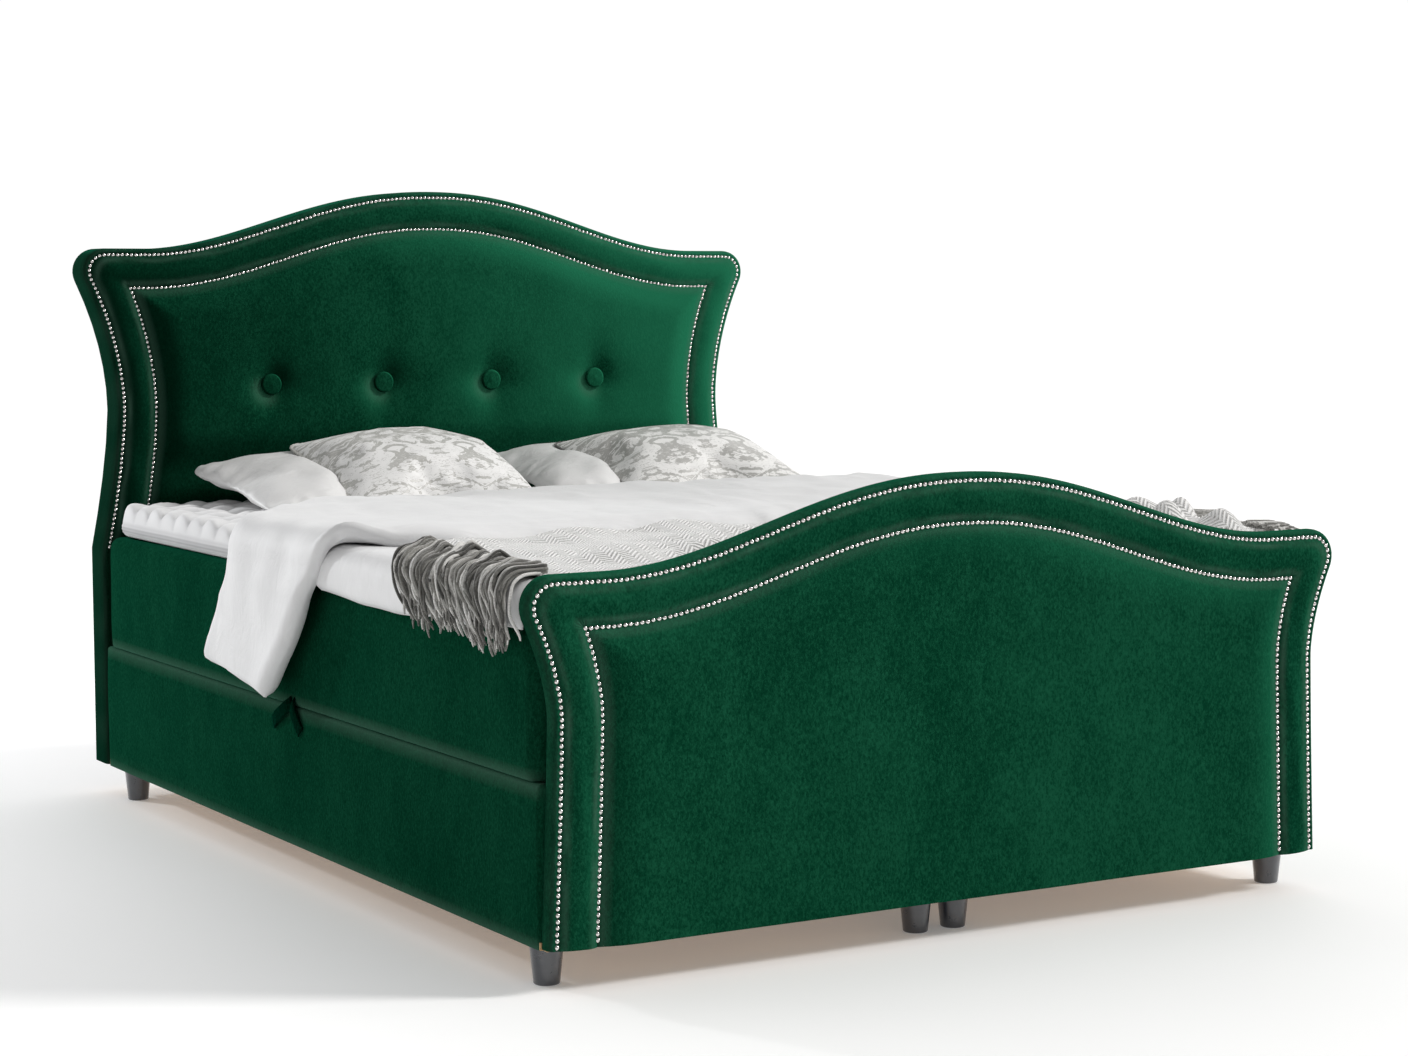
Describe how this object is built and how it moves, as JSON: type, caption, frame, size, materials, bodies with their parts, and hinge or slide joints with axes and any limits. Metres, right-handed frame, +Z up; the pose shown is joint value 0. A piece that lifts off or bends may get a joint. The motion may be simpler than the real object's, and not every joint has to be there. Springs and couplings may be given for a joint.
{
  "type": "upholstered headboard bed",
  "caption": "Velvet upholstered bed with a crowned headboard and footboard, twin storage boxes whose sprung lids tilt up at the sides, a topper and bedding.",
  "frame": {"origin": "on the floor below the middle of the whole bed", "axes": "+X across the bed, +Y towards the headboard, +Z up"},
  "size_m": [1.672, 2.1906, 1.332],
  "materials": {
    "velvet": "emerald green velvet with a soft nap",
    "back_cloth": "black woven backing cloth",
    "timber": "raw board",
    "spring_cloth": "spring pockets in non-woven cloth",
    "topper_cloth": "quilted white knit",
    "white_cotton": "white cotton",
    "throw_weave": "grey and white woven throw",
    "damask": "silver and white damask",
    "nail_steel": "polished nail heads",
    "zinc_steel": "zinc plated",
    "black_steel": "black paint",
    "leg_plastic": "glossy dark grey"
  },
  "bodies": {
    "base": {"leg_left_foot_outer": "leg_plastic", "leg_left_foot_middle": "leg_plastic", "leg_left_head_outer": "leg_plastic", "leg_left_head_middle": "leg_plastic", "left_box_floor": "timber", "left_box_walls": "velvet", "leg_right_foot_outer": "leg_plastic", "leg_right_foot_middle": "leg_plastic", "leg_right_head_outer": "leg_plastic", "leg_right_head_middle": "leg_plastic", "right_box_floor": "timber", "right_box_walls": "velvet", "foot_hinge_post": "zinc_steel", "head_hinge_post": "zinc_steel", "footboard_core": "timber", "footboard_border_pad": "velvet", "footboard_centre_pad": "velvet", "footboard_outer_nail_trim": "nail_steel", "footboard_inner_nail_trim": "nail_steel", "headboard_core": "timber", "headboard_border_pad": "velvet", "headboard_centre_pad": "velvet", "headboard_outer_nail_trim": "nail_steel", "headboard_inner_nail_trim": "nail_steel", "headboard_rear_frame": "timber", "headboard_back_cover": "back_cloth", "headboard_button_1": "velvet", "headboard_button_2": "velvet", "headboard_button_3": "velvet", "headboard_button_4": "velvet"},
    "left_lid": {"left_lid_board": "timber", "left_lid_cover": "velvet", "left_spring_unit": "spring_cloth", "left_pull_strap": "velvet", "left_foot_hinge_plate": "zinc_steel", "left_head_hinge_plate": "zinc_steel", "left_topper": "topper_cloth", "left_duvet": "white_cotton", "left_throw": "throw_weave", "left_pillow": "white_cotton", "left_cushion": "damask"},
    "left_strut_cylinders": {"left_foot_strut_cylinder": "black_steel", "left_head_strut_cylinder": "black_steel"},
    "left_strut_rods": {"left_foot_strut_rod": "zinc_steel", "left_head_strut_rod": "zinc_steel"},
    "right_lid": {"right_lid_board": "timber", "right_lid_cover": "velvet", "right_spring_unit": "spring_cloth", "right_pull_strap": "velvet", "right_foot_hinge_plate": "zinc_steel", "right_head_hinge_plate": "zinc_steel", "right_topper": "topper_cloth", "right_duvet": "white_cotton", "right_throw": "throw_weave", "right_pillow": "white_cotton", "right_cushion": "damask"},
    "right_strut_cylinders": {"right_foot_strut_cylinder": "black_steel", "right_head_strut_cylinder": "black_steel"},
    "right_strut_rods": {"right_foot_strut_rod": "zinc_steel", "right_head_strut_rod": "zinc_steel"}
  },
  "joints": [
    {"name": "left_lid_tilt", "type": "hinge", "parent": "base", "child": "left_lid", "pos_m": [-0.02, 0, 0.7], "axis": [0, 1, 0], "range_deg": [0, 30]},
    {"name": "left_strut_swing", "type": "hinge", "parent": "base", "child": "left_strut_cylinders", "pos_m": [-0.062, 0, 0.11], "axis": [0, 1, 0], "range_deg": [0, 8.1]},
    {"name": "left_strut_stroke", "type": "slide", "parent": "left_strut_cylinders", "child": "left_strut_rods", "axis": [-0.8035, 0, 0.5954], "range_m": [0, 0.2525]},
    {"name": "right_lid_tilt", "type": "hinge", "parent": "base", "child": "right_lid", "pos_m": [0.02, 0, 0.7], "axis": [0, -1, 0], "range_deg": [0, 30]},
    {"name": "right_strut_swing", "type": "hinge", "parent": "base", "child": "right_strut_cylinders", "pos_m": [0.062, 0, 0.11], "axis": [0, -1, 0], "range_deg": [0, 8.1]},
    {"name": "right_strut_stroke", "type": "slide", "parent": "right_strut_cylinders", "child": "right_strut_rods", "axis": [0.8035, 0, 0.5954], "range_m": [0, 0.2525]}
  ],
  "couplings": [
    {"joint": "left_strut_swing", "follows": "left_lid_tilt", "ratio": 0.26},
    {"joint": "left_strut_stroke", "follows": "left_lid_tilt", "m_per_rad": 0.47976},
    {"joint": "right_strut_swing", "follows": "right_lid_tilt", "ratio": 0.26},
    {"joint": "right_strut_stroke", "follows": "right_lid_tilt", "m_per_rad": 0.47976}
  ]
}
